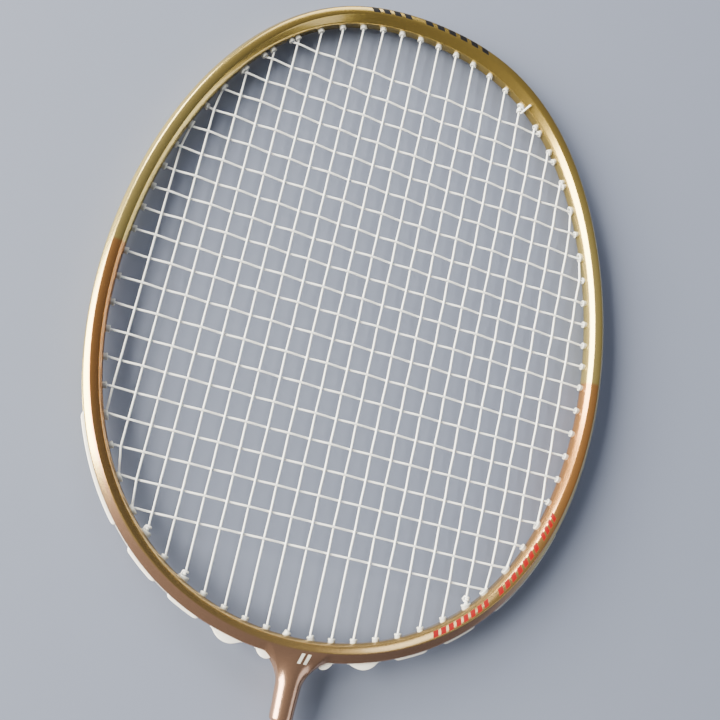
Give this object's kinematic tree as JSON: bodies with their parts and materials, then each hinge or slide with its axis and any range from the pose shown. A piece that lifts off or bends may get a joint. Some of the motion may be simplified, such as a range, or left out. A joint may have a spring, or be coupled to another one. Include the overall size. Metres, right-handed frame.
{
  "type": "badminton racket",
  "caption": "Badminton racket with an oval head, woven string bed, slim shaft, cone and wrapped octagonal grip.",
  "frame": {"origin": "centre of the butt end face, on the axis of the shaft", "axes": "+Y along the racket to the tip of the head, +X across the head, +Z square to the string bed"},
  "size_m": [0.201, 0.675, 0.0266],
  "materials": {
    "frame_lacquer": "glossy pearl lacquer on carbon fibre",
    "shaft_lacquer": "glossy lacquer on carbon fibre",
    "alloy": "as cast",
    "grommet_nylon": "translucent moulded nylon",
    "string": "coated multifilament nylon",
    "cone_plastic": "moulded",
    "wood": "sanded",
    "cap_plastic": "moulded",
    "badge_plastic": "plain disc",
    "steel": "wire",
    "grip": "tacky polyurethane tape",
    "finishing_tape": "vinyl tape"
  },
  "bodies": {
    "root": {"butt_badge": "badge_plastic", "butt_cap": "cap_plastic", "butt_cap_staple_left": "steel", "butt_cap_staple_right": "steel", "cone": "cone_plastic", "cross_string": "string", "crown_grommet_strip": "grommet_nylon", "flat_double_grommet_left_1": "grommet_nylon", "flat_double_grommet_left_2": "grommet_nylon", "flat_double_grommet_right_1": "grommet_nylon", "flat_double_grommet_right_2": "grommet_nylon", "grip_finishing_tape": "finishing_tape", "grip_wrap": "grip", "handle_core": "wood", "head_frame": "frame_lacquer", "lower_grommet_strip_left": "grommet_nylon", "lower_grommet_strip_right": "grommet_nylon", "main_string": "string", "shaft": "shaft_lacquer", "side_grommet_left_1": "grommet_nylon", "side_grommet_left_10": "grommet_nylon", "side_grommet_left_11": "grommet_nylon", "side_grommet_left_12": "grommet_nylon", "side_grommet_left_13": "grommet_nylon", "side_grommet_left_2": "grommet_nylon", "side_grommet_left_3": "grommet_nylon", "side_grommet_left_4": "grommet_nylon", "side_grommet_left_5": "grommet_nylon", "side_grommet_left_6": "grommet_nylon", "side_grommet_left_7": "grommet_nylon", "side_grommet_left_8": "grommet_nylon", "side_grommet_left_9": "grommet_nylon", "side_grommet_right_1": "grommet_nylon", "side_grommet_right_10": "grommet_nylon", "side_grommet_right_11": "grommet_nylon", "side_grommet_right_12": "grommet_nylon", "side_grommet_right_13": "grommet_nylon", "side_grommet_right_2": "grommet_nylon", "side_grommet_right_3": "grommet_nylon", "side_grommet_right_4": "grommet_nylon", "side_grommet_right_5": "grommet_nylon", "side_grommet_right_6": "grommet_nylon", "side_grommet_right_7": "grommet_nylon", "side_grommet_right_8": "grommet_nylon", "side_grommet_right_9": "grommet_nylon", "t_joint": "alloy", "throat_grommet_left_1": "grommet_nylon", "throat_grommet_left_2": "grommet_nylon", "throat_grommet_right_1": "grommet_nylon", "throat_grommet_right_2": "grommet_nylon", "upper_grommet_strip_left": "grommet_nylon", "upper_grommet_strip_right": "grommet_nylon"}
  },
  "joints": []
}
